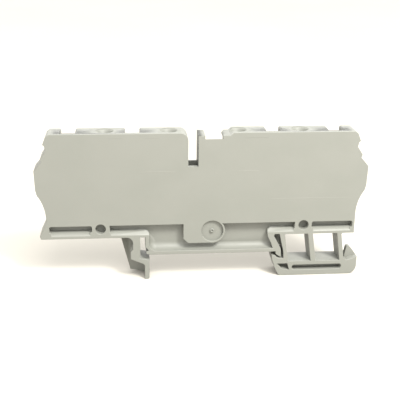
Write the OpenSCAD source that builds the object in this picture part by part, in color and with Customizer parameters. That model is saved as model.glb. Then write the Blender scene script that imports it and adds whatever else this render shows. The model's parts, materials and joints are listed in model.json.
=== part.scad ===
// Four-wire spring clamp terminal block that snaps onto a 35 mm mounting rail.
// X runs along the block, Y along the rail and Z up.
// The origin is the middle of the rail's top face, half way through the block's thickness.
// The closed face looks to -Y, and the open face with the metal parts looks to +Y.

/* [Block] */
// Length from end to end at the shoulders
block_length = 85; // [83:0.5:92]
// Thickness along the rail, from closed face to open face
thickness = 6.2; // [6:0.1:7]
// Height of the top above the rail
top_z = 32.6; // [32:0.2:36]
// Height of the block's underside above the rail
rim_z = 4.9; // [4.7:0.1:5.1]
// Shift of the block's middle from the rail's middle
shift = -1.5; // [-2:0.1:-1]
// Drop of the bridge and marker section below the top
saddle_drop = 0.75; // [0.4:0.05:1]

/* [Walls] */
// Wall of the closed face
side_wall = 1.2; // [1:0.1:1.4]
// Wall behind the wire entries and the bridge shaft, on the open face
far_wall = 0.9; // [0.7:0.1:1]
// Web of the rim and the feet
web = 1.2; // [1:0.1:1.5]
// Depth of the recesses in the closed face
recess_depth = 3.4; // [2.8:0.1:3.6]
// Depth of the hooked foot's recesses, which leave its web at the open face
hook_recess = 4.4; // [4:0.1:4.8]
// Rim along the underside
rim = 1.6; // [1.3:0.1:1.8]
// Bevel on the rim, below its recesses
rim_bevel = 0.85; // [0.6:0.05:1]
// Ribs between neighbouring hollows
rib = 1.1; // [0.9:0.1:1.3]

/* [Rail seat and feet] */
// Width of the mounting rail
rail_width = 35; // [34.6:0.1:35.4]
// Thickness of the rail's lips
rail_lip = 1; // [0.8:0.1:1.1]
// Clearance at each edge of the rail
rail_play = 0.3; // [0.2:0.05:0.4]
// Depth of the feet below the rail's top face
foot_depth = 6.9; // [6.6:0.1:7.6]
// Thickness of the flange that lies on the rail
flange = 1; // [0.8:0.1:1.4]
// Slit that frees the sprung arm
slit = 0.6; // [0.5:0.05:0.7]

/* [Wire entries] */
// Distance from the block's middle to the first wire entry
first_wire = 8.75; // [8.6:0.05:9]
// Distance between two wire entries on one side
wire_pitch = 16; // [15.6:0.05:16.4]
// Diameter of a wire entry
wire_d = 3.2; // [2.8:0.1:3.6]
// Diameter of the funnel at a wire entry's mouth
funnel_d = 4.6; // [4.3:0.1:4.8]
// Length of a wire entry
entry_length = 7.4; // [6.8:0.1:8]
// Depth of the funnel
funnel_h = 1.5; // [1.2:0.1:2]
// Distance from a wire entry to its screwdriver shaft
driver_offset = 9.1; // [9:0.05:9.3]
// Width of a screwdriver shaft
driver_w = 3.6; // [3.2:0.05:3.8]

/* [Bridge shaft and marker groove] */
// Width of the bridge shaft
bridge_w = 2.55; // [2.3:0.05:2.7]
// Depth of the notch over the bridge shaft
bridge_notch = 8.75; // [7.5:0.05:9.5]
// Width of the marker groove
marker_w = 4.55; // [4.2:0.05:4.7]
// Depth of the marker groove
marker_depth = 4.2; // [3.4:0.1:5]
// Height of the lips that hold a marker
lip_h = 0.8; // [0.6:0.05:1]

/* [Current bar] */
// Thickness of the strip
bar_t = 0.8; // [0.7:0.05:0.9]
// Width of the strip
bar_w = 3.8; // [3.4:0.1:3.9]
// Width of a contact tab
tab_w = 2; // [1.6:0.1:2.1]
// Height of a contact tab above the strip's underside
tab_height = 12; // [11.6:0.1:12.4]
// Inside gap of a folded contact tab
fold_gap = 0.2; // [0.1:0.05:0.3]
// Height of the strip's underside above the rail
bar_z = 9.5; // [9.3:0.1:9.9]

/* [Cage springs] */
// Thickness of the spring strip
spring_t = 0.5; // [0.4:0.05:0.6]
// Width of the spring strip
spring_w = 3.6; // [3.2:0.1:3.8]
// Width of the window that the tab and the wire pass through
window_w = 2.3; // [2.2:0.05:2.5]
// Radius of the bow, at the middle of the strip
bow_r = 2; // [1.7:0.05:2.1]
// Radius of the heel between bow and clamping leg
heel_r = 1.2; // [1:0.05:1.3]
// Height of the clamping leg above the strip's underside
leg_height = 4.4; // [4:0.1:4.8]
// Gap between a spring and its tab
spring_gap = 0.03; // [0.02:0.01:0.06]

/* [Hidden] */
$fn = 64;
eps = 1;

near = -thickness / 2;
far = thickness / 2;
half = block_length / 2;
wall_in = near + side_wall;
web_front = near + recess_depth;
web_back = web_front + web;
rim_top = rim_z + rim;
shelf = 1.2;
wall_foot = bar_z - shelf;
mid_y = (wall_in + far - far_wall) / 2;

// Profile of both ends: how far each point lies inside the shoulder, and its height
shoulder_z = top_z - 9.3;
waist_in = 2.45;
waist_z = 10.5;
waist_r = 11.15;
flare_in = 0.65;
flare_z = 9.6;
end_profile = [
    [half - 4.1, top_z],
    [half - 3.3, top_z - 0.6],
    [half - 2.5, top_z - 2.6],
    [half - 2.9, top_z - 2.9],
    [half - 3.15, top_z - 4.1],
    [half - 1.75, top_z - 6.2],
    [half - 2, top_z - 7],
    [half, shoulder_z],
    [half - 0.15, shoulder_z - 5],
    [half - 0.4, shoulder_z - 6.2],
    [half - waist_in, waist_z],
    [half - waist_in, rim_z]
];

// One clamping unit, measured outwards from its wire entry
ceiling_z = top_z - entry_length;
shaft_in = driver_offset - driver_w / 2;
shaft_out = driver_offset + driver_w / 2;
chamber_in = -3.6;
chamber_out = 8.6;
bar_play = 0.1;
tab_face = 1.4;
fold_r = (bar_t + fold_gap) / 2;
tab_t = 2 * bar_t + fold_gap;
tab_in_mid = tab_face + bar_t / 2;
tab_out_mid = tab_in_mid + 2 * fold_r;
bend_r = 0.9;
root_u = tab_face + tab_t + spring_gap + spring_t / 2;
leg_z = bar_z + leg_height;
bow_z = bar_z + tab_height - 0.2;
leg_end = tab_face - spring_gap - 0.6;
contact_run = 5;

// Middle of the block
bridge_x = -2.68;
bridge_z = top_z - bridge_notch;
saddle_z = top_z - saddle_drop;
saddle_end = 6.6;
marker_x = 0.3;
lip_under = 0.4;
lip_lead = 0.55;
corner_r = 2;
block_r = 0.5;

// Row of recesses along the rim
slot_start = 28.6;
slot_end = 39.4;
peg_x = 26.4;
peg_z = (rim_top + wall_foot) / 2;
peg_r = 1.33;
peg_play = 0.1;
peg_length = 1;
bay_start = 24.05;
slot_r = 0.5;

// Rail seat, between the two feet
rail_edge = rail_width / 2 + rail_play;
sole = -foot_depth;
seat_in = rail_edge - 2.3;
nose_x = rail_edge - 1.5;
nose_lift = 0.12;
seat_fillet = 2;
bay_r = 1;
flat_end = rail_edge - 1.4;
gate_x = 2.4;
gate_z = rim_z + 1.4;
gate_r = 2.85;
gate_depth = 0.8;
gate_rim = 0.5;
gate_block_x = -5.16;
gate_block_z = rim_z - 1.9;
gate_bevel = 1.3;
nub_r = 0.52;
nub_h = 0.5;

// Feet, measured outwards from the rail's edges
hook_tip = -2.4;
hook_leg = -1.1;
hook_rib = 1.9;
hook_bulge = 2.5;
hook_web = 5.5;
window_floor = -2.9;
window_lean = 1.2;
post_out = 17.45;
post_r = 0.6;
foot_end = 22.1;
foot_heel_r = 2.5;
prong_back = 1.8;
prong_t = 1.6;

function mirrored(points) = [for (i = [len(points) - 1:-1:0]) [-points[i].x, points[i].y]];

// Extrudes an outline drawn in X and Z between two places along Y
module slab(y0, y1) {
    translate([0, y1, 0]) rotate([90, 0, 0]) linear_extrude(height = y1 - y0) children();
}

module box_xz(x0, z0, x1, z1) {
    translate([x0, z0]) square([x1 - x0, z1 - z0]);
}

module round_box_xz(x0, z0, x1, z1, r) {
    box_xz(x0 + r, z0, x1 - r, z1);
    box_xz(x0, z0 + r, x1, z1 - r);
    for (x = [x0 + r, x1 - r]) for (z = [z0 + r, z1 - r]) translate([x, z]) circle(r = r);
}

// Sharp corner that a radius leaves over; the corner point is the origin
module corner_rest(r) {
    difference() {
        square(r);
        translate([r, r]) circle(r = r);
    }
}

// Places children at both ends of the block, mirrored about its middle
module both_ends() {
    translate([shift, 0]) children();
    translate([shift, 0]) mirror([1, 0]) children();
}

// Places children at each clamping unit, with X pointing outwards from the wire entry
module each_unit_xz() {
    both_ends() for (i = [0, 1]) translate([first_wire + i * wire_pitch, 0]) children();
}

// Strip of sheet metal seen edge on, bent as it goes: each step is [run, turn, radius]
module bent_strip(steps, t, i = 0) {
    run = steps[i][0];
    turn = steps[i][1];
    r = steps[i][2];
    side = sign(turn);
    translate([0, -t / 2]) square([run, t]);
    if (turn != 0) {
        translate([run, side * r]) {
            bend_sector(abs(turn), r, t, side);
            rotate(turn) translate([0, -side * r]) bent_strip(steps, t, i + 1);
        }
    }
}

// Quarter or half ring, from straight below (or above) its middle onwards
module bend_sector(angle, r, t, side) {
    reach = 2 * (r + t);
    difference() {
        circle(r = r + t / 2);
        circle(r = r - t / 2);
        translate([-reach, -reach]) square([reach, 2 * reach]);
        if (angle == 90) translate([-reach, side > 0 ? 0 : -reach]) square([2 * reach, reach]);
    }
}

// Outline of the block above its underside
module block_xz() {
    translate([shift, 0]) {
        difference() {
            polygon(concat(end_profile, mirrored(end_profile)));
            for (s = [-1, 1]) translate([s * (half - waist_in + waist_r), waist_z]) circle(r = waist_r);
            saddle_xz();
            bridge_notch_xz();
        }
        polygon([
            [-half + waist_in, flare_z],
            [-half + flare_in, rim_z + 0.8],
            [-half + flare_in + 0.3, rim_z],
            [-half + waist_in + 1, rim_z],
            [-half + waist_in + 1, flare_z]
        ]);
    }
}

// Lowered section for bridge and marker, with a slope up to the right
module saddle_xz() {
    polygon([
        [bridge_x, saddle_z],
        [saddle_end, saddle_z],
        [saddle_end + saddle_drop + eps, top_z + eps],
        [bridge_x, top_z + eps]
    ]);
}

module bridge_notch_xz() {
    left = bridge_x - bridge_w / 2;
    box_xz(left, bridge_z, left + bridge_w, top_z + eps);
    translate([left, top_z]) rotate(180) corner_rest(corner_r);
}

// Seat on the rail: flange, web and the post at its left end
module seat_xz() {
    nose_r = (flange - nose_lift) / 2;
    nose_in = seat_in - nose_x + nose_r;
    flat_in = 0.3;
    box_xz(-seat_in - 1, flange + 1, seat_in + 1, rim_top);
    box_xz(-seat_in + flat_in, 0, flat_end, flange + 1);
    translate([-seat_in, 0]) polygon([
        [flat_in, 0],
        [nose_in, nose_lift],
        [nose_in, flange],
        [-0.1, flange + 0.2],
        [-1, flange + 1.2],
        [flat_in, flange + 1.2]
    ]);
    translate([-seat_in + nose_in, flange - nose_r]) circle(r = nose_r);
}

// Hooked foot: its ribs and, between them, a web
module hook_foot_xz() {
    translate([-rail_edge, 0]) mirror([1, 0]) polygon([
        [hook_web, rim_z + 0.5],
        [hook_web - 2.85, sole + 1.05],
        [hook_leg, sole + 0.2],
        [hook_leg - 0.3, sole],
        [hook_tip + 0.4, sole],
        [hook_tip + 0.1, sole + 0.4],
        [hook_tip, -rail_lip - 0.9],
        [hook_tip + 0.2, -rail_lip - 0.5],
        [0.3, -rail_lip - 0.05],
        [0, -rail_lip + 0.4],
        [0, rim_z + 0.5]
    ]);
}

// Where the hooked foot is only its web
module hook_foot_pockets_xz() {
    corner = 1.6;
    translate([-rail_edge, 0]) mirror([1, 0]) {
        difference() {
            polygon([
                [hook_web + 1, rim_z],
                [hook_rib, rim_z],
                [hook_rib, 1.6],
                [hook_bulge, 0.9],
                [hook_bulge, -1.2],
                [hook_leg + 0.45, -2.55],
                [hook_leg, -3],
                [hook_leg, sole - eps],
                [hook_web + 1, sole - eps]
            ]);
            translate([hook_rib, rim_z]) rotate(270) corner_rest(corner);
        }
    }
}

// Sprung foot, with its windows and the slit that frees the arm
module sprung_foot_xz() {
    translate([rail_edge, 0]) {
        difference() {
            polygon([
                [seat_in - rail_edge, rim_top],
                [seat_in - rail_edge, flange / 2],
                [flat_end - rail_edge, 0],
                [0, 0.1],
                [0.05, -rail_lip - 0.1],
                [-0.95, -rail_lip],
                [-0.9, -rail_lip - 1],
                [-0.35, sole + 3.1],
                [0.2, sole + 1.6],
                [1.1, sole + 0.1],
                [1.8, sole],
                [foot_end, sole],
                [foot_end, window_floor + 0.95],
                [foot_end - 2.6, window_floor],
                [post_out + 1.05, window_floor + 0.4],
                [post_out, rim_z],
                [post_out, rim_top]
            ]);
            arm_slit_xz();
            foot_window_xz(2.3, 6.1);
            foot_window_xz(9.75, 6.45);
            translate([foot_end, sole]) rotate(90) corner_rest(foot_heel_r);
        }
        translate([post_out, rim_z]) rotate(270) corner_rest(post_r);
    }
}

// Window in the sprung foot that leans with its posts
module foot_window_xz(left, wide) {
    polygon([
        [left, rim_z + 0.1],
        [left + wide, rim_z + 0.1],
        [left + wide + window_lean, window_floor],
        [left + window_lean, window_floor]
    ]);
}

// Narrow slit from the rail pocket up between the arm and the first post
module arm_slit_xz() {
    polygon([
        [1.22, 1.2],
        [1.22 + slit, 1.2],
        [1.5 + slit, -0.3],
        [1.6 + slit, -rail_lip - 0.9],
        [1.4, -rail_lip - 0.95],
        [0.45, -rail_lip - 0.65],
        [-0.1, -rail_lip - 0.05],
        [-0.1, -rail_lip + 0.6],
        [0.45, -rail_lip],
        [1.15, -rail_lip - 0.4],
        [1.55, -rail_lip - 0.4],
        [1.4, 0.4]
    ]);
}

// Release prong beside the sprung foot
module prong_xz() {
    translate([rail_edge + foot_end, window_floor]) {
        polygon([
            [-3, -0.5],
            [-3, 0.9],
            [-2.6, 2.65],
            [-1.53, 2.9],
            [0, 0.9],
            [0, -0.5]
        ]);
        translate([-2.02, 2.55]) circle(r = 0.65);
    }
}

// Recesses of the sprung foot: over the slit, beside the claw and along the sole
module sprung_foot_pockets_xz() {
    low = sole + 1.55;
    high = sole + 2.95;
    translate([rail_edge, 0]) {
        polygon([
            [-0.6, rim_z - 0.45],
            [-0.35, rim_z + 0.1],
            [0.85, rim_z + 0.1],
            [1, rim_z - 0.4],
            [1.8, 1],
            [1.25, 1],
            [0.25, 3]
        ]);
        polygon([
            [0.55, high + 0.45],
            [3.3, high + 0.45],
            [3.85, low],
            [1.85, low + 0.35]
        ]);
        round_box_xz(4.6, low, 17.9, high, 0.6);
    }
}

// Recesses along the rim and round the rail seat
module rim_pockets_xz() {
    both_ends() round_box_xz(slot_start, rim_top, slot_end, wall_foot, slot_r);
    difference() {
        union() {
            translate([shift, 0]) box_xz(-bay_start, rim_top, bay_start, wall_foot);
            seat_recess_xz();
        }
        gate_block_xz();
    }
}

// Recess over the rail seat, as far as the sprung arm
module seat_recess_xz() {
    difference() {
        polygon([
            [-seat_in, flange],
            [rail_edge - 0.8, flange],
            [rail_edge - 1.3, flange + 1.5],
            [seat_in, rim_z - 0.4],
            [seat_in, rim_top + 0.5],
            [-seat_in, rim_top + 0.5]
        ]);
        translate([-seat_in, flange]) corner_rest(seat_fillet);
    }
    translate([-seat_in, rim_top]) rotate(180) corner_rest(bay_r);
    translate([seat_in, rim_top]) rotate(270) corner_rest(bay_r);
}

// Bevel along a stretch of the rim's upper edge on the closed face
module rim_bevel_cut(x0, x1) {
    translate([x0, near, rim_top]) rotate([90, 0, 90]) linear_extrude(height = x1 - x0)
        polygon([
            [-eps, -rim_bevel - eps],
            [rim_bevel + eps, eps],
            [-eps, eps]
        ]);
}

module rim_bevels() {
    rim_bevel_cut(shift - slot_end + slot_r, shift - slot_start - slot_r);
    rim_bevel_cut(shift - bay_start + slot_r / 2, -seat_in + eps);
    rim_bevel_cut(seat_in - eps, shift + bay_start - slot_r / 2);
    rim_bevel_cut(shift + slot_start + slot_r, shift + slot_end - slot_r);
}

// Full-depth block with the moulding gate
module gate_block_xz() {
    translate([shift, 0]) {
        difference() {
            box_xz(gate_block_x, gate_block_z, gate_x, wall_foot + eps);
            translate([gate_block_x, gate_block_z]) rotate(45) square(gate_bevel * sqrt(2), center = true);
        }
        translate([gate_x, gate_z]) circle(r = gate_r + gate_rim);
    }
}

module peg_holes_xz(r) {
    both_ends() translate([peg_x, peg_z]) circle(r = r);
}

// Hollow of one clamping unit, open to the far face: spring chamber and screwdriver shaft
module chamber_xz() {
    polygon([
        [chamber_in, bar_z],
        [chamber_out, bar_z],
        [chamber_out, leg_z + 1],
        [shaft_out, ceiling_z + 2.5],
        [shaft_out, top_z + eps],
        [shaft_in, top_z + eps],
        [shaft_in, ceiling_z + 0.8],
        [shaft_in - 0.8, ceiling_z],
        [chamber_in, ceiling_z]
    ]);
    translate([shaft_in, top_z]) rotate(180) corner_rest(block_r);
    translate([shaft_out, top_z]) rotate(270) corner_rest(block_r);
}

// Core hollow between the wire entry and the screwdriver shaft
module entry_core_xz() {
    box_xz(wire_d / 2 + rib, ceiling_z + rib, shaft_in - rib, top_z - funnel_h - rib);
}

// Core hollow behind each end
module end_core_xz() {
    outer = first_wire + wire_pitch;
    polygon([
        [outer + shaft_out + rib, top_z - 2],
        [half - 4.2, top_z - 2],
        [half - 4.4, top_z - 6.4],
        [half - 1.7, shoulder_z - 0.6],
        [half - 1.7, shoulder_z - 5],
        [half - waist_in - rib, waist_z + 1.2],
        [half - waist_in - rib, bar_z],
        [outer + chamber_out + rib, bar_z],
        [outer + chamber_out + rib, leg_z + 1],
        [outer + shaft_out + rib, ceiling_z + 2.5]
    ]);
}

module middle_core_xz() {
    left = bridge_x + bridge_w / 2 + rib;
    right = first_wire + chamber_in - rib;
    translate([shift, 0]) box_xz(left, bar_z + bar_t + bar_play + rib, right, saddle_z - marker_depth - rib);
}

// Channel that the current bar lies in, from chamber to chamber
module bar_channel_xz() {
    reach = first_wire + wire_pitch;
    translate([shift, 0]) box_xz(-reach, bar_z, reach, bar_z + bar_t + bar_play);
}

// Marker groove: undercut below its lips, the right lip with a lead-in
module marker_groove_xz() {
    floor_z = saddle_z - marker_depth;
    lip_z = saddle_z - lip_h;
    right = marker_x + marker_w;
    translate([shift, 0]) polygon([
        [marker_x - lip_under, floor_z],
        [right + lip_under, floor_z],
        [right + lip_under, lip_z],
        [right, lip_z],
        [right + lip_lead, saddle_z],
        [right + lip_lead, top_z + eps],
        [marker_x, top_z + eps],
        [marker_x, lip_z],
        [marker_x - lip_under, lip_z]
    ]);
}

module bridge_shaft_xz() {
    left = bridge_x - bridge_w / 2;
    translate([shift, 0]) box_xz(left, bar_z, left + bridge_w, bridge_z + eps);
}

// Wire entry with its funnel
module wire_entry() {
    translate([0, mid_y, ceiling_z - eps]) cylinder(h = entry_length + 2 * eps, d = wire_d);
    translate([0, mid_y, top_z - funnel_h]) cylinder(h = funnel_h, d1 = wire_d, d2 = funnel_d);
    translate([0, mid_y, top_z]) cylinder(h = eps, d = funnel_d);
}

module wire_entries() {
    for (s = [-1, 1]) for (i = [0, 1])
        translate([shift + s * (first_wire + i * wire_pitch), 0, 0]) wire_entry();
}

// Notch in the closed face in front of the marker groove, with a floor that falls inwards
module marker_notch() {
    back = side_wall + 0.3;
    translate([shift + marker_x, near, saddle_z - lip_h])
        rotate([90, 0, 90]) linear_extrude(height = marker_w) polygon([
            [-eps, eps / 2],
            [back, -back / 2],
            [back, lip_h + eps],
            [-eps, lip_h + eps]
        ]);
}

// Round recess of the moulding gate, with the broken-off gate as a small ring in it
module gate_mark() {
    translate([shift + gate_x, near, gate_z]) rotate([-90, 0, 0]) difference() {
        translate([0, 0, -eps]) cylinder(h = gate_depth + eps, r = gate_r);
        translate([0, 0, gate_depth - nub_h]) difference() {
            cylinder(h = nub_h + eps, r = nub_r);
            translate([0, 0, -eps]) cylinder(h = nub_h / 2 + eps, r = nub_r / 2);
        }
    }
}

module housing() {
    color([0.75, 0.74, 0.69]) {
        difference() {
            slab(near, far) {
                block_xz();
                seat_xz();
                hook_foot_xz();
                sprung_foot_xz();
            }
            slab(near - eps, web_front) {
                rim_pockets_xz();
                peg_holes_xz(peg_r);
                sprung_foot_pockets_xz();
            }
            slab(near - eps, near + hook_recess) hook_foot_pockets_xz();
            slab(web_back, far + eps) {
                rim_pockets_xz();
                sprung_foot_pockets_xz();
            }
            rim_bevels();
            slab(wall_in, far + eps) {
                each_unit_xz() {
                    chamber_xz();
                    entry_core_xz();
                }
                both_ends() end_core_xz();
                bar_channel_xz();
                middle_core_xz();
                marker_groove_xz();
            }
            slab(wall_in, far - far_wall) bridge_shaft_xz();
            wire_entries();
            marker_notch();
            gate_mark();
        }
        slab(near + prong_back, near + prong_back + prong_t) prong_xz();
        slab(web_back, far + peg_length) peg_holes_xz(peg_r - peg_play);
    }
}

module current_bar() {
    rise = tab_height - bend_r - fold_r - bar_t;
    outer = first_wire + wire_pitch;
    outer_span = wire_pitch + tab_in_mid - tab_out_mid - 2 * bend_r;
    middle_span = 2 * (first_wire + tab_in_mid) - 2 * bend_r;
    up_over = [rise, -180, fold_r];
    down_out = [rise, 90, bend_r];
    steps = [
        up_over,
        down_out,
        [outer_span, 90, bend_r],
        up_over,
        down_out,
        [middle_span, 90, bend_r],
        up_over,
        down_out,
        [outer_span, 90, bend_r],
        up_over,
        [rise, 0, 0]
    ];
    foot_z = bar_z + bar_t / 2 + bend_r;
    color([0.8, 0.8, 0.78]) difference() {
        slab(mid_y - bar_w / 2, mid_y + bar_w / 2)
            translate([shift - outer - tab_out_mid, foot_z]) rotate(90) bent_strip(steps, bar_t);
        tab_necks();
        bridge_slot();
    }
}

// Material cut from both edges of each contact tab
module tab_necks() {
    neck_z = bar_z + 2 * bar_t + bend_r;
    each_side = (bar_w - tab_w) / 2;
    for (s = [-1, 1]) for (i = [0, 1]) for (y = [mid_y - bar_w / 2 - eps, mid_y + tab_w / 2])
        translate([shift + s * (first_wire + i * wire_pitch + tab_face + tab_t / 2), y, neck_z])
            translate([-tab_t, 0, 0]) cube([2 * tab_t, each_side + eps, tab_height]);
}

module bridge_slot() {
    slot_l = 1;
    slot_w = 2.6;
    translate([shift + bridge_x - slot_l / 2, mid_y - slot_w / 2, bar_z - eps])
        cube([slot_l, slot_w, bar_t + 2 * eps]);
}

// One cage spring: holding leg on the tab, bow, heel and clamping leg with its window
module cage_spring(side, place) {
    bow_run = bow_z - leg_z - heel_r;
    leg_run = root_u + 2 * bow_r - heel_r - leg_end;
    steps = [
        [contact_run, -180, bow_r],
        [bow_run, -90, heel_r],
        [leg_run, 0, 0]
    ];
    window_end = root_u + 2 * bow_r - heel_r;
    wire_x = shift + side * (first_wire + place * wire_pitch);
    color([0.7, 0.71, 0.72]) translate([wire_x, 0, 0]) mirror([side > 0 ? 0 : 1, 0, 0]) difference() {
        slab(mid_y - spring_w / 2, mid_y + spring_w / 2)
            translate([root_u, bow_z - contact_run]) rotate(90) bent_strip(steps, spring_t);
        translate([tab_face - spring_gap, mid_y - window_w / 2, leg_z - spring_t])
            cube([window_end - tab_face, window_w, 2 * spring_t]);
    }
}

housing();
current_bar();
cage_spring(-1, 1);  // cage_spring_1
cage_spring(-1, 0);  // cage_spring_2
cage_spring(1, 0);  // cage_spring_3
cage_spring(1, 1);  // cage_spring_4
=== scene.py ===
"""Looks of a spring clamp terminal block: moulded housing, bent current bar and four cage springs.

Lengths are in metres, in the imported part's frame: X along the block, Y along the rail, Z up.
"""

import json
import math

import bmesh
import bpy
from mathutils import Euler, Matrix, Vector


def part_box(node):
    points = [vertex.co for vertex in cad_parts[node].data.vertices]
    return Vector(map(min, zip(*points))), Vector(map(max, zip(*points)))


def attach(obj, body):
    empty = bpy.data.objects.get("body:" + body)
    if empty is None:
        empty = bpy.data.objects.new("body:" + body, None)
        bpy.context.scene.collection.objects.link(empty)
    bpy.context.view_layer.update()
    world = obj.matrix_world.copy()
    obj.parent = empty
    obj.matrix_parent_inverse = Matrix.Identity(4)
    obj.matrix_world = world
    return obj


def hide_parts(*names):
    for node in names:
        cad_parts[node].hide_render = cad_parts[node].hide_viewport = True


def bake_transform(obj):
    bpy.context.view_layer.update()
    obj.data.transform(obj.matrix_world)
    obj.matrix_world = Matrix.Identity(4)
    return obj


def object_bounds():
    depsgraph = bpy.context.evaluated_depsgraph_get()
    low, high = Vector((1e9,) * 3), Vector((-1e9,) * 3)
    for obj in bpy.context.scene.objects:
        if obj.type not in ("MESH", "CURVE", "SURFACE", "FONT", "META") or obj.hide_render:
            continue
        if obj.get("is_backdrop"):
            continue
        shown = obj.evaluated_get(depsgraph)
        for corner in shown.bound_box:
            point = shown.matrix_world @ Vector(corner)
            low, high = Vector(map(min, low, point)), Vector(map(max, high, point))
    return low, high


MM = 0.001

CAMERA_PLACE = (-0.0202865, -0.1967125, 0.0849977)
CAMERA_TURN_DEG = (70.18293, -0.65861, -5.03859)
CAMERA_LENS = 72.726
SENSOR_WIDTH = 36.0

LIGHT_AIM = (0.0, 0.0, 0.013)
ROOM_STRENGTH = 2.34
ROOM_COLOUR = (1.0, 0.995, 0.98, 1.0)
SOFT_BOX_PLACE = (0.1144, -0.1696, 0.2324)
SOFT_BOX_SIZE = 0.067
SOFT_BOX_WATTS = 1.48
SOFT_BOX_COLOUR = (1.0, 0.985, 0.955)
PANEL_PLACE = (0.3187, -1.1894, 1.589)
PANEL_SIZE = 1.2
PANEL_WATTS = 38.4
PANEL_COLOUR = (1.0, 0.99, 0.97)
FLOOR_SIZE = 8.0

SAME_POINT = 0.001 * MM
ON_PLANE = 0.01 * MM
FLAT_ANGLE = math.radians(0.5)
SHARP_ANGLE = math.radians(28)
MOULDED_ANGLE = math.radians(50)
EDGE_RADIUS = 0.12 * MM
EDGE_STEPS = 2

# The recess floors' place along Y: in the solid, and as the photo shows them.
SOLID_FLOOR = 0.3 * MM
SEEN_FLOOR = -0.9 * MM

# The web over the rail seat is rounded into the flange below it and into its left end.
SEAT_FLANGE = 1.0 * MM
SEAT_FILLET = 1.8 * MM
SEAT_FILLET_STEPS = 6
SEAT_LEFT = (-15.6 * MM, -13.4 * MM)
SEAT_LEFT_TOP = 5.6 * MM

# Each witness line on the closed face: its start and end along X, its height and its kind.
RIDGE = 1.0
GROOVE = -1.0
WITNESS_LINES_MM = (
    (-18.4, -8.3, 22.63, RIDGE),
    (6.9, 12.8, 22.52, RIDGE),
    (14.9, 37.5, 14.90, RIDGE),
    (-25.4, -21.7, 31.36, GROOVE),
    (-16.5, -12.5, 31.37, GROOVE),
    (8.2, 15.0, 31.16, GROOVE),
)
WITNESS_HALF_WIDTH = 0.15 * MM
WITNESS_FULL_SHARE = 0.8
# Share by which the colour is painted lighter on witness ridges and darker in witness grooves: a
# painted highlight and painted shade.
WITNESS_PAINTED_SHADE_AND_HIGHLIGHT = 0.08
CLOSED_FACE_FADE = (-3.08 * MM, -2.98 * MM)

# Cage spring, measured on the middle line of its strip from the joint's axis.
BOW_RADIUS = 2.0 * MM
HEEL_RADIUS = 1.2 * MM
HOLDING_RUN = 5.0 * MM
LEG_DROP = 7.4 * MM
LEG_REACH = 2.71 * MM
STRIP_WIDTH = 3.6 * MM
STRIP_THICKNESS = 0.5 * MM
STRIP_EDGE = 0.06 * MM
WINDOW_REACH = 2.11 * MM
WINDOW_LENGTH = 4.88 * MM
WINDOW_WIDTH = 2.3 * MM
ARC_STEPS = 16
STRIP_EDGE_STEPS = 2

POLYAMIDE_LIGHT = (0.155, 0.157, 0.138, 1.0)
POLYAMIDE_DARK = (0.148, 0.151, 0.132, 1.0)
TIN_BRIGHT = (0.83, 0.82, 0.79, 1.0)
TIN_DULL = (0.68, 0.66, 0.62, 1.0)
STEEL_BRIGHT = (0.66, 0.66, 0.67, 1.0)
STEEL_DULL = (0.50, 0.50, 0.51, 1.0)
SHEET_LIGHT = (0.396, 0.378, 0.341, 1.0)
SHEET_SHADE = (0.386, 0.368, 0.331, 1.0)


def add_node(tree, kind, inputs=None, **settings):
    """Adds a node; inputs maps a socket's name or number to a value or to a socket to link from."""
    node = tree.nodes.new(kind)
    for name, value in settings.items():
        setattr(node, name, value)
    for key, value in (inputs or {}).items():
        if isinstance(value, bpy.types.NodeSocket):
            tree.links.new(value, node.inputs[key])
        else:
            node.inputs[key].default_value = value
    return node


def math_node(tree, operation, first, second=0.0, third=0.0):
    inputs = {0: first, 1: second, 2: third}
    return add_node(tree, "ShaderNodeMath", inputs, operation=operation).outputs[0]


def new_material(name):
    """Empty node material with a surface shader; returns the material, its tree and the shader."""
    material = bpy.data.materials.new(name)
    material.use_nodes = True
    tree = material.node_tree
    tree.nodes.clear()
    shader = tree.nodes.new("ShaderNodeBsdfPrincipled")
    output = tree.nodes.new("ShaderNodeOutputMaterial")
    tree.links.new(shader.outputs["BSDF"], output.inputs["Surface"])
    return material, tree, shader


def object_coordinates(tree, scale=(1.0, 1.0, 1.0)):
    place = tree.nodes.new("ShaderNodeTexCoord").outputs["Object"]
    return add_node(tree, "ShaderNodeMapping", {"Vector": place, "Scale": scale}).outputs["Vector"]


def noise(tree, vector, scale, detail=3.0, roughness=0.55):
    inputs = {"Vector": vector, "Scale": scale, "Detail": detail, "Roughness": roughness}
    return add_node(tree, "ShaderNodeTexNoise", inputs).outputs["Fac"]


def remap(tree, value, low, high, to_low=0.0, to_high=1.0):
    """Spreads a value between two limits, clamped, with soft ends."""
    limits = {"From Min": low, "From Max": high, "To Min": to_low, "To Max": to_high}
    inputs = {"Value": value, **limits}
    return add_node(tree, "ShaderNodeMapRange", inputs, interpolation_type="SMOOTHSTEP").outputs[0]


def blend_colours(tree, factor, first, second):
    """Mixes two colours; a mix node's colour sockets come after those for numbers and vectors."""
    node = tree.nodes.new("ShaderNodeMix")
    node.data_type = "RGBA"
    tree.links.new(factor, node.inputs[0])
    node.inputs[6].default_value = first
    node.inputs[7].default_value = second
    return node.outputs[2]


def bump(tree, height, strength, distance, normal=None):
    inputs = {"Height": height, "Strength": strength, "Distance": distance}
    if normal is not None:
        inputs["Normal"] = normal
    return add_node(tree, "ShaderNodeBump", inputs).outputs["Normal"]


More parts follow.
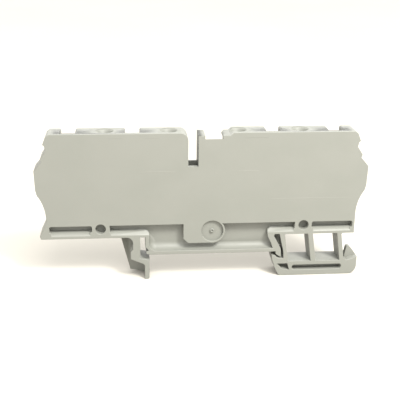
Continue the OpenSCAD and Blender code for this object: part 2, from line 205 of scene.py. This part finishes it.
def witness_lines(tree, place):
    """Faint ridges and grooves that the mould's joints left on the closed face, from -1 to 1."""
    axes = add_node(tree, "ShaderNodeSeparateXYZ", {0: place}).outputs
    lines = 0.0
    for start, end, height, kind in WITNESS_LINES_MM:
        middle = 0.5 * (start + end) * MM
        half = 0.5 * (end - start) * MM
        off_line = math_node(tree, "ABSOLUTE", math_node(tree, "SUBTRACT", axes["Z"], height * MM))
        off_middle = math_node(tree, "ABSOLUTE", math_node(tree, "SUBTRACT", axes["X"], middle))
        across = remap(tree, off_line, 0.0, WITNESS_HALF_WIDTH, to_low=kind, to_high=0.0)
        along = remap(tree, off_middle, WITNESS_FULL_SHARE * half, half, to_low=1.0, to_high=0.0)
        lines = math_node(tree, "ADD", math_node(tree, "MULTIPLY", across, along), lines)
    closed_face = remap(tree, axes["Y"], *CLOSED_FACE_FADE, to_low=1.0, to_high=0.0)
    return math_node(tree, "MULTIPLY", lines, closed_face)


def moulded_polyamide():
    """Warm grey nylon with an eroded grain, flow clouds, uneven gloss and witness lines; along the
    lines the colour carries a painted highlight on ridges and painted shade in grooves.
    """
    material, tree, shader = new_material("moulded_polyamide")
    plain = object_coordinates(tree)
    flow = object_coordinates(tree, scale=(0.7, 1.0, 1.0))
    clouds = remap(tree, noise(tree, flow, scale=110.0), low=0.3, high=0.7)
    colour = blend_colours(tree, clouds, POLYAMIDE_DARK, POLYAMIDE_LIGHT)
    lines = witness_lines(tree, plain)
    # Painted highlight on the ridges and painted shade in the grooves: the base colour is scaled up
    # or down along the witness lines.
    painted_line_light = math_node(tree, "MULTIPLY_ADD", lines, WITNESS_PAINTED_SHADE_AND_HIGHLIGHT, 1.0)
    inputs = {0: colour, "Scale": painted_line_light}
    colour_with_painted_lines = add_node(tree, "ShaderNodeVectorMath", inputs, operation="SCALE").outputs[0]
    tree.links.new(colour_with_painted_lines, shader.inputs["Base Color"])
    patches = noise(tree, plain, scale=420.0)
    gloss = remap(tree, patches, low=0.25, high=0.75, to_low=0.44, to_high=0.60)
    tree.links.new(gloss, shader.inputs["Roughness"])
    pores = noise(tree, plain, scale=3600.0, detail=2.0)
    grain = bump(tree, pores, strength=0.22, distance=0.02 * MM)
    waves = noise(tree, plain, scale=260.0, detail=1.0)
    waviness = bump(tree, waves, strength=0.12, distance=0.05 * MM, normal=grain)
    lined_face = bump(tree, lines, strength=0.5, distance=0.03 * MM, normal=waviness)
    tree.links.new(lined_face, shader.inputs["Normal"])
    shader.inputs["Specular IOR Level"].default_value = 0.38
    return material


def rolled_metal(name, bright, dull, smooth, rough):
    """Rolled strip: fine lines run along the strip, over a slow change of colour and gloss."""
    material, tree, shader = new_material(name)
    plain = object_coordinates(tree)
    across = object_coordinates(tree, scale=(0.02, 1.0, 0.02))
    lines = noise(tree, across, scale=5200.0, detail=4.0, roughness=0.7)
    stain = remap(tree, noise(tree, plain, scale=320.0, detail=4.0), low=0.3, high=0.72)
    tree.links.new(blend_colours(tree, stain, bright, dull), shader.inputs["Base Color"])
    dulling = math_node(tree, "MULTIPLY_ADD", lines, 0.35, 0.3)
    mixed = math_node(tree, "MULTIPLY", math_node(tree, "ADD", dulling, stain), 0.55)
    gloss = remap(tree, mixed, low=0.1, high=0.95, to_low=smooth, to_high=rough)
    tree.links.new(gloss, shader.inputs["Roughness"])
    rolled = bump(tree, lines, strength=0.16, distance=0.01 * MM)
    tree.links.new(rolled, shader.inputs["Normal"])
    shader.inputs["Metallic"].default_value = 1.0
    return material


def pale_sheet():
    """Pale frosted sheet under the block, with a slow change of tint and a fine grain."""
    material, tree, shader = new_material("pale_sheet")
    plain = object_coordinates(tree)
    fibre = noise(tree, plain, scale=900.0, detail=2.0)
    tint = remap(tree, noise(tree, plain, scale=6.0), low=0.3, high=0.7)
    tree.links.new(blend_colours(tree, tint, SHEET_SHADE, SHEET_LIGHT), shader.inputs["Base Color"])
    frosted = bump(tree, fibre, strength=0.05, distance=0.02 * MM)
    tree.links.new(frosted, shader.inputs["Normal"])
    shader.inputs["Roughness"].default_value = 0.9
    shader.inputs["Specular IOR Level"].default_value = 0.15
    return material


def link_object(name, mesh):
    piece = bpy.data.objects.new(name, mesh)
    bpy.context.scene.collection.objects.link(piece)
    return piece


def evaluated_mesh(piece):
    """Plain mesh of a piece with its modifiers applied; the piece itself is removed."""
    graph = bpy.context.evaluated_depsgraph_get()
    mesh = bpy.data.meshes.new_from_object(piece.evaluated_get(graph))
    bpy.data.objects.remove(piece)
    return mesh


def smooth_shade(mesh, angle=SHARP_ANGLE):
    mesh.polygons.foreach_set("use_smooth", [True] * len(mesh.polygons))
    mesh.set_sharp_from_angle(angle=angle)


def raise_floors(solid):
    """Brings the floors of the closed face's recesses forward to the depth seen in the photo."""
    floors = set()
    for face in solid.faces:
        on_floor = all(abs(vert.co.y - SOLID_FLOOR) < ON_PLANE for vert in face.verts)
        if on_floor and face.normal.y < 0:
            floors.update(face.verts)
    for vert in floors:
        vert.co.y = SEEN_FLOOR
    solid.normal_update()


def in_seat_corner(edge):
    """True for an inner edge of the rail seat's web, along the flange or up the left end."""
    ends = [vert.co for vert in edge.verts]
    on_web = all(abs(end.y - SEEN_FLOOR) < ON_PLANE for end in ends)
    if not on_web or edge.calc_face_angle_signed() > -SHARP_ANGLE:
        return False
    on_flange = all(end.z < SEAT_FLANGE + ON_PLANE for end in ends)
    along_flange = on_flange and min(end.x for end in ends) < 0
    left, right = SEAT_LEFT
    up_left_end = all(left < end.x < right and end.z < SEAT_LEFT_TOP for end in ends)
    return along_flange or up_left_end


def fillet_seat(solid):
    """Rounds the inner corner of the recess over the rail seat."""
    corner = [edge for edge in solid.edges if in_seat_corner(edge)]
    ends = list({vert for edge in corner for vert in edge.verts})
    bmesh.ops.bevel(
        solid,
        geom=corner + ends,
        offset=SEAT_FILLET,
        offset_type="OFFSET",
        segments=SEAT_FILLET_STEPS,
        profile=0.5,
        affect="EDGES",
        clamp_overlap=False,
        loop_slide=False,
    )


def face_edges(solid, planes):
    """Edges that lie wholly on one of the two outer faces."""
    found = []
    for edge in solid.edges:
        ends = [vert.co.y for vert in edge.verts]
        if any(all(abs(y - plane) < SAME_POINT for y in ends) for plane in planes):
            found.append(edge)
    return found


def mark_face_edges(solid, planes):
    """Joins edges too short to round, then gives bevel weight to the faces' outward edges."""
    shortest = EDGE_RADIUS / 2
    short = [edge for edge in face_edges(solid, planes) if edge.calc_length() < shortest]
    bmesh.ops.collapse(solid, edges=short, uvs=False)
    weight = solid.edges.layers.float.new("bevel_weight_edge")
    for edge in face_edges(solid, planes):
        if edge.calc_face_angle_signed() > SHARP_ANGLE:
            edge[weight] = 1.0


def housing_blank():
    """Merged copy of the housing's solid, with its recesses as seen and its edges marked."""
    closed_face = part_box("housing")[0][1]
    # Pegs stand out beyond the open face, so it is found from the closed one.
    open_face = -closed_face
    solid = bmesh.new()
    solid.from_mesh(frame["nodes"]["housing"].data)
    bmesh.ops.remove_doubles(solid, verts=solid.verts, dist=SAME_POINT)
    bmesh.ops.dissolve_limit(solid, angle_limit=FLAT_ANGLE, verts=solid.verts, edges=solid.edges)
    raise_floors(solid)
    fillet_seat(solid)
    mark_face_edges(solid, (closed_face, open_face))
    mesh = bpy.data.meshes.new("housing_edges")
    solid.to_mesh(mesh)
    solid.free()
    return link_object("housing_edges", mesh)


def rounded_housing(material):
    """Copy of the housing with the small radius that moulded edges have."""
    blank = housing_blank()
    edges = blank.modifiers.new("moulded_edges", "BEVEL")
    edges.limit_method = "WEIGHT"
    edges.width = EDGE_RADIUS
    edges.segments = EDGE_STEPS
    edges.use_clamp_overlap = False
    edges.loop_slide = False
    rounded = evaluated_mesh(blank)
    smooth_shade(rounded, MOULDED_ANGLE)
    rounded.materials.clear()
    rounded.materials.append(material)
    piece = link_object("rounded_housing", rounded)
    normals = piece.modifiers.new("flat_faces", "WEIGHTED_NORMAL")
    normals.keep_sharp = True
    finished = evaluated_mesh(piece)
    piece = link_object("rounded_housing", finished)
    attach(piece, "block")
    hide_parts("housing")


def in_plane(tree, x, z):
    """Vector at a place in the plane that the strip is bent in."""
    return add_node(tree, "ShaderNodeCombineXYZ", {"X": x, "Z": z}).outputs[0]


def pick_by_index(tree, index, kind, values):
    switch = tree.nodes.new("GeometryNodeIndexSwitch")
    switch.data_type = kind
    while len(switch.index_switch_items) < len(values):
        switch.index_switch_items.new()
    tree.links.new(index, switch.inputs[0])
    for number, value in enumerate(values):
        if isinstance(value, bpy.types.NodeSocket):
            tree.links.new(value, switch.inputs[number + 1])
        else:
            switch.inputs[number + 1].default_value = value
    return switch.outputs[0]


def strip_path(tree, size):
    """Middle line of the strip: up the tab, over the bow, down outside and in along the leg."""
    down = math_node(tree, "MULTIPLY", size["Leg Drop"], -1.0)
    root = math_node(tree, "MULTIPLY", size["Holding Run"], -1.0)
    across = math_node(tree, "MULTIPLY", size["Bow Radius"], 2.0)
    inward = math_node(tree, "MULTIPLY", size["Leg Reach"], -1.0)
    corners = [
        (0.0, root),
        (0.0, size["Bow Radius"]),
        (across, size["Bow Radius"]),
        (across, down),
        (inward, down),
    ]
    radii = [0.0, size["Bow Radius"], size["Bow Radius"], size["Heel Radius"], 0.0]
    index = tree.nodes.new("GeometryNodeInputIndex").outputs[0]
    places = [in_plane(tree, x, z) for x, z in corners]
    inputs = {"Count": len(corners), "Position": pick_by_index(tree, index, "VECTOR", places)}
    points = add_node(tree, "GeometryNodePoints", inputs).outputs[0]
    line = add_node(tree, "GeometryNodePointsToCurves", {"Points": points}).outputs[0]
    radius = pick_by_index(tree, index, "FLOAT", radii)
    inputs = {"Curve": line, "Count": ARC_STEPS, "Radius": radius, "Limit Radius": True}
    return add_node(tree, "GeometryNodeFilletCurve", inputs, mode="POLY").outputs[0]


def strip_along(tree, size, path):
    """Flat strip with broken edges along a stretch of the path.

    Where two arcs meet, the path has a doubled point, so the rings made there are merged.
    """
    inputs = {"Curve": path, "Start": size["From"], "End": size["To"]}
    stretch = add_node(tree, "GeometryNodeTrimCurve", inputs, mode="FACTOR").outputs[0]
    tangent = tree.nodes.new("GeometryNodeInputTangent").outputs[0]
    inputs = {0: tangent, 1: (0.0, 1.0, 0.0)}
    inward = add_node(tree, "ShaderNodeVectorMath", inputs, operation="CROSS_PRODUCT").outputs[0]
    inputs = {"Curve": stretch, "Normal": inward}
    upright = add_node(tree, "GeometryNodeSetCurveNormal", inputs, mode="FREE").outputs[0]
    inputs = {"Width": size["Strip Thickness"], "Height": size["Strip Width"]}
    flat = add_node(tree, "GeometryNodeCurvePrimitiveQuadrilateral", inputs).outputs[0]
    edge = size["Strip Edge"]
    inputs = {"Curve": flat, "Count": STRIP_EDGE_STEPS, "Radius": edge, "Limit Radius": True}
    profile = add_node(tree, "GeometryNodeFilletCurve", inputs, mode="POLY").outputs[0]
    inputs = {"Curve": upright, "Profile Curve": profile, "Fill Caps": True}
    strip = add_node(tree, "GeometryNodeCurveToMesh", inputs).outputs[0]
    reach = math_node(tree, "MULTIPLY", edge, 0.5)
    inputs = {"Geometry": strip, "Distance": reach}
    return add_node(tree, "GeometryNodeMergeByDistance", inputs).outputs[0]


def window_cut(tree, size, strip):
    """Cuts the window that the tab and the wire pass through out of the clamping leg."""
    depth = math_node(tree, "MULTIPLY", size["Strip Thickness"], 2.0)
    inputs = {"X": size["Window Length"], "Y": size["Window Width"], "Z": depth}
    cutter_size = add_node(tree, "ShaderNodeCombineXYZ", inputs).outputs[0]
    block = add_node(tree, "GeometryNodeMeshCube", {"Size": cutter_size})
    half = math_node(tree, "MULTIPLY", size["Window Length"], 0.5)
    middle = math_node(tree, "SUBTRACT", half, size["Window Reach"])
    down = math_node(tree, "MULTIPLY", size["Leg Drop"], -1.0)
    inputs = {"Geometry": block.outputs[0], "Translation": in_plane(tree, middle, down)}
    cutter = add_node(tree, "GeometryNodeTransform", inputs).outputs[0]
    boolean = add_node(tree, "GeometryNodeMeshBoolean", operation="DIFFERENCE", solver="EXACT")
    tree.links.new(strip, boolean.inputs[0])
    tree.links.new(cutter, boolean.inputs[1])
    return boolean.outputs[0]


def spring_tree():
    """Geometry nodes for one stretch of a cage spring, bent from flat strip."""
    tree = bpy.data.node_groups.new("cage_spring_strip", "GeometryNodeTree")
    sockets = tree.interface
    sockets.new_socket(name="Geometry", in_out="OUTPUT", socket_type="NodeSocketGeometry")
    sizes = {
        "Holding Run": HOLDING_RUN,
        "Bow Radius": BOW_RADIUS,
        "Heel Radius": HEEL_RADIUS,
        "Leg Drop": LEG_DROP,
        "Leg Reach": LEG_REACH,
        "Strip Width": STRIP_WIDTH,
        "Strip Thickness": STRIP_THICKNESS,
        "Strip Edge": STRIP_EDGE,
        "Window Reach": WINDOW_REACH,
        "Window Length": WINDOW_LENGTH,
        "Window Width": WINDOW_WIDTH,
        "From": 0.0,
        "To": 1.0,
        "Turn": 0.0,
    }
    for name, value in sizes.items():
        socket = sockets.new_socket(name=name, in_out="INPUT", socket_type="NodeSocketFloat")
        socket.default_value = value
    sockets.new_socket(name="Place", in_out="INPUT", socket_type="NodeSocketVector")
    sockets.new_socket(name="Finish", in_out="INPUT", socket_type="NodeSocketMaterial")
    size = add_node(tree, "NodeGroupInput").outputs
    path = strip_path(tree, size)
    strip = strip_along(tree, size, path)
    cut = window_cut(tree, size, strip)
    turn = add_node(tree, "ShaderNodeCombineXYZ", {"Z": size["Turn"]}).outputs[0]
    inputs = {"Geometry": cut, "Translation": size["Place"], "Rotation": turn}
    placed = add_node(tree, "GeometryNodeTransform", inputs).outputs[0]
    real = add_node(tree, "GeometryNodeRealizeInstances", {"Geometry": placed}).outputs[0]
    inputs = {"Geometry": real, "Material": size["Finish"]}
    finished = add_node(tree, "GeometryNodeSetMaterial", inputs).outputs[0]
    add_node(tree, "NodeGroupOutput", {"Geometry": finished})
    return tree


def strip_piece(name, tree, values):
    """Plain mesh object made by the strip tree with the given input values."""
    blank = link_object(name + "_blank", bpy.data.meshes.new(name + "_blank"))
    modifier = blank.modifiers.new("strip", "NODES")
    modifier.node_group = tree
    for item in tree.interface.items_tree:
        if item.in_out == "INPUT" and item.name in values:
            modifier[item.identifier] = values[item.name]
    mesh = evaluated_mesh(blank)
    smooth_shade(mesh)
    return link_object(name, mesh)


def bow_top():
    """Share of the strip's length from the root to the top of the bow."""
    quarter = math.pi / 2
    to_top = HOLDING_RUN + quarter * BOW_RADIUS
    outer_side = LEG_DROP - HEEL_RADIUS
    leg = 2 * BOW_RADIUS - HEEL_RADIUS + LEG_REACH
    whole = to_top + quarter * BOW_RADIUS + outer_side + quarter * HEEL_RADIUS + leg
    return to_top / whole


def cage_springs(material):
    """Makes each spring in two stretches: the holding leg bends at its bow, the rest swings."""
    tree = spring_tree()
    top = bow_top()
    for joint in frame["joints"]:
        body = joint["child"]
        node = "cage_" + body
        pivot = joint["pos_m"]
        outward = 1.0 if joint["axis"][1] > 0 else -1.0
        values = {"Place": pivot, "Turn": 0.0 if outward > 0 else math.pi, "Finish": material}
        holding = strip_piece(node + "_holding_leg", tree, {**values, "From": 0.0, "To": top})
        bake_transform(holding)
        clamping = strip_piece(node + "_clamping_leg", tree, {**values, "From": top, "To": 1.0})
        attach(clamping, body)
        for piece in (holding, clamping):
            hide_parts(node)


def dress_current_bar(material):
    for slot in frame["nodes"]["current_bar"].material_slots:
        slot.material = material


def stage_floor(material):
    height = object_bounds()[0][2]
    half = FLOOR_SIZE / 2
    outline = ((-half, -half), (half, -half), (half, half), (-half, half))
    corners = [(x, y, height) for x, y in outline]
    mesh = bpy.data.meshes.new("floor")
    mesh.from_pydata(corners, [], [(0, 1, 2, 3)])
    mesh.materials.append(material)
    link_object("floor", mesh)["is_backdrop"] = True


def area_light(name, place, size, power, colour):
    """Square soft box that faces the middle of the block."""
    data = bpy.data.lights.new(name, "AREA")
    data.shape = "SQUARE"
    data.size = size
    data.energy = power
    data.color = colour
    light = bpy.data.objects.new(name, data)
    light.location = place
    towards = Vector(LIGHT_AIM) - Vector(place)
    light.rotation_euler = towards.to_track_quat("-Z", "Y").to_euler()
    bpy.context.scene.collection.objects.link(light)


def studio_light():
    """Pale room light from all round, a large panel high in front and a near soft box."""
    world = bpy.data.worlds.new("room")
    world.use_nodes = True
    background = world.node_tree.nodes["Background"]
    background.inputs["Color"].default_value = ROOM_COLOUR
    background.inputs["Strength"].default_value = ROOM_STRENGTH
    bpy.context.scene.world = world
    area_light("soft_box", SOFT_BOX_PLACE, SOFT_BOX_SIZE, SOFT_BOX_WATTS, SOFT_BOX_COLOUR)
    area_light("ceiling_panel", PANEL_PLACE, PANEL_SIZE, PANEL_WATTS, PANEL_COLOUR)


def photo_camera():
    data = bpy.data.cameras.new("camera")
    data.lens = CAMERA_LENS
    data.sensor_fit = "HORIZONTAL"
    data.sensor_width = SENSOR_WIDTH
    data.clip_start = 0.01
    data.clip_end = 20.0
    camera = bpy.data.objects.new("camera", data)
    camera.location = CAMERA_PLACE
    camera.rotation_euler = Euler([math.radians(angle) for angle in CAMERA_TURN_DEG])
    bpy.context.scene.collection.objects.link(camera)
    bpy.context.scene.camera = camera


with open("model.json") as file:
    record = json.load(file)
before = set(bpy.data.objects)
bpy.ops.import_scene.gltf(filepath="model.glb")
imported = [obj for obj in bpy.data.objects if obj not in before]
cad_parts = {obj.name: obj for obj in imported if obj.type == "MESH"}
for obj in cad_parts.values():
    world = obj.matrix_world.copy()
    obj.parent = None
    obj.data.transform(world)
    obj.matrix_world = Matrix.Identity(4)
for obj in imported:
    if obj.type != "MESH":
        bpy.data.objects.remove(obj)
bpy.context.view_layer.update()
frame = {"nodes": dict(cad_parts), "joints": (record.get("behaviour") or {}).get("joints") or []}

photo_camera()
studio_light()
stage_floor(pale_sheet())
rounded_housing(moulded_polyamide())
dress_current_bar(rolled_metal("tinned_strip", TIN_BRIGHT, TIN_DULL, smooth=0.26, rough=0.46))
cage_springs(rolled_metal("spring_strip", STEEL_BRIGHT, STEEL_DULL, smooth=0.20, rough=0.40))
bpy.context.scene.view_settings.view_transform = "Standard"
